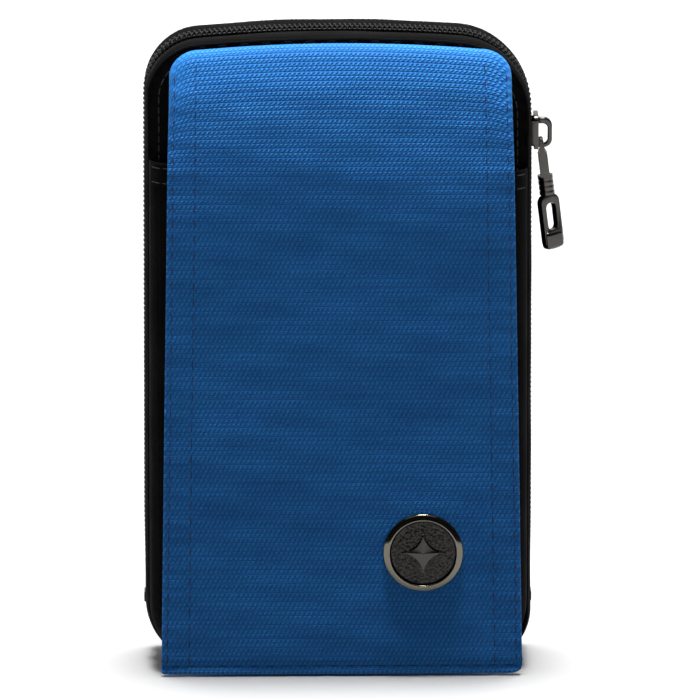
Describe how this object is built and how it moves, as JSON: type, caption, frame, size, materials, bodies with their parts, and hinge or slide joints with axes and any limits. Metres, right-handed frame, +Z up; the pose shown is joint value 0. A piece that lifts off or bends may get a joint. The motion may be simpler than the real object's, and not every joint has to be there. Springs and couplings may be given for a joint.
{
  "type": "zip pouch",
  "caption": "Flat upright zip pouch with a stitched front flap over a slip pocket, a round metal badge, a coil zip round three sides and a swivelling metal pull.",
  "frame": {"origin": "middle of the base strip's underside, on the surface the pouch stands on, in the zipper's plane", "axes": "+Z up along the pouch's height, -Y out of the front flap, +X towards the side with the zip pull"},
  "size_m": [0.1214, 0.0428, 0.188],
  "materials": {
    "blue_fabric": "twill woven polyester, matt with a slight sheen",
    "black_fabric": "plain woven nylon, matt",
    "lining": "smooth woven lining",
    "foam": "closed cell foam sheet, matt",
    "stiffener": "thin polyethylene board",
    "webbing": "ribbed webbing",
    "zipper_tape": "herringbone woven tape",
    "zipper_nylon": "nylon monofilament, satin",
    "zipper_stop": "dark plated",
    "hook_and_loop": "fine hooks and loops",
    "gunmetal": "polished dark nickel plate",
    "pin_steel": "plain plated steel",
    "badge_metal": "polished dark nickel plate",
    "badge_hammered": "dark plate with a fine pebbled surface"
  },
  "bodies": {
    "back_shell": {"back_panel": "black_fabric", "back_padding": "foam", "back_lining": "lining", "back_gusset": "black_fabric", "back_gusset_lining": "lining", "zipper_tape_back": "zipper_tape", "zipper_coil_back": "zipper_nylon", "zipper_top_stop_back": "zipper_stop", "zipper_end_stop": "zipper_stop", "base_strip": "black_fabric", "base_lining": "lining", "belt_loop": "webbing"},
    "front_shell": {"front_panel": "black_fabric", "front_padding": "foam", "front_lining": "lining", "front_gusset": "black_fabric", "front_gusset_lining": "lining", "zipper_tape_front": "zipper_tape", "zipper_coil_front": "zipper_nylon", "zipper_top_stop_front": "zipper_stop", "front_pocket": "black_fabric", "pocket_hem": "black_fabric", "flap_seam_tape": "black_fabric", "loop_patch": "hook_and_loop"},
    "flap": {"flap_cover": "blue_fabric", "flap_stiffener": "stiffener", "flap_lining": "black_fabric", "hook_patch": "hook_and_loop", "badge_bezel": "badge_metal", "badge_disc": "badge_hammered", "badge_washer": "pin_steel"},
    "slider": {"slider_body": "gunmetal", "slider_bridge": "gunmetal"},
    "pull_link": {"pull_link": "gunmetal"},
    "pull_tab": {"pull_tab": "gunmetal", "swivel_pin": "pin_steel"}
  },
  "joints": [
    {"name": "front_opening", "type": "hinge", "parent": "back_shell", "child": "front_shell", "pos_m": [0, -0.012, 0], "axis": [1, 0, 0], "range_deg": [0, 90]},
    {"name": "flap_lift", "type": "hinge", "parent": "front_shell", "child": "flap", "pos_m": [0, -0.0138, 0.1852], "axis": [-1, 0, 0], "range_deg": [0, 135]},
    {"name": "slider_run", "type": "slide", "parent": "back_shell", "child": "slider", "axis": [0, 0, 1], "range_m": [-0.132, 0]},
    {"name": "pull_swing", "type": "hinge", "parent": "slider", "child": "pull_link", "pos_m": [0.0584, 0, 0.1538], "axis": [0, -1, 0], "range_deg": [0, 160]},
    {"name": "pull_swivel", "type": "hinge", "parent": "pull_link", "child": "pull_tab", "pos_m": [0.0584, 0, 0.1538], "axis": [0.1219, 0, -0.9925], "range_deg": [-90, 90]}
  ]
}
